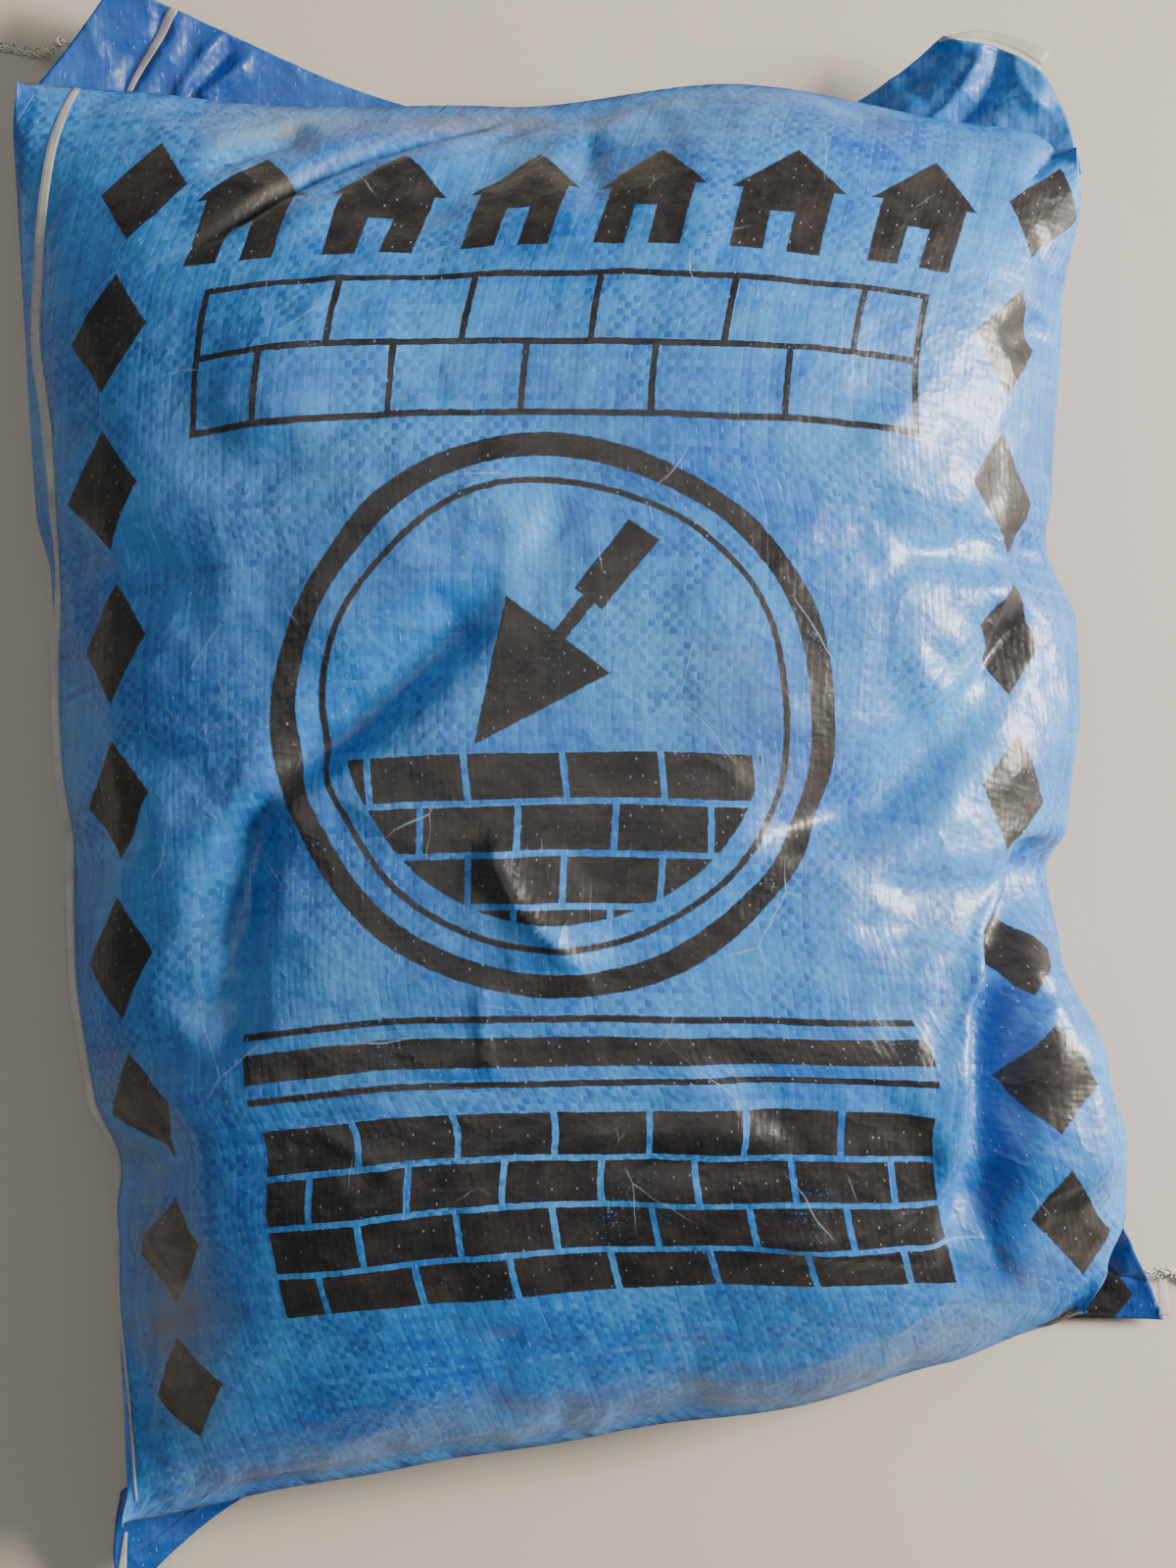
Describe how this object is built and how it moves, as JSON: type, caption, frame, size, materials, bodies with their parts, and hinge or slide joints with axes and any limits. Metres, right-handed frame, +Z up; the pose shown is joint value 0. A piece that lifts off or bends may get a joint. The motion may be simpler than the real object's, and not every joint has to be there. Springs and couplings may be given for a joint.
{
  "type": "cement bag",
  "caption": "Filled blue woven plastic sack of cement, lying flat, its sewn ends tucked under with corner flaps and loose sewing threads sticking out",
  "frame": {"origin": "middle of the bag's bounding box, on the surface it lies on", "axes": "X across the bag to its right, Y along it towards its top end, Z up out of the printed face"},
  "size_m": [0.4951, 0.5828, 0.1084],
  "materials": {
    "laminated_cloth": "woven polypropylene tape cloth under a clear glossy film, blue with black print",
    "sewing_thread": "undyed cotton-like sewing thread in chain stitch"
  },
  "bodies": {
    "root": {"sack": "laminated_cloth", "top_stitching": "sewing_thread", "bottom_stitching": "sewing_thread", "top_thread_tail": "sewing_thread", "bottom_thread_tail": "sewing_thread"}
  },
  "joints": []
}
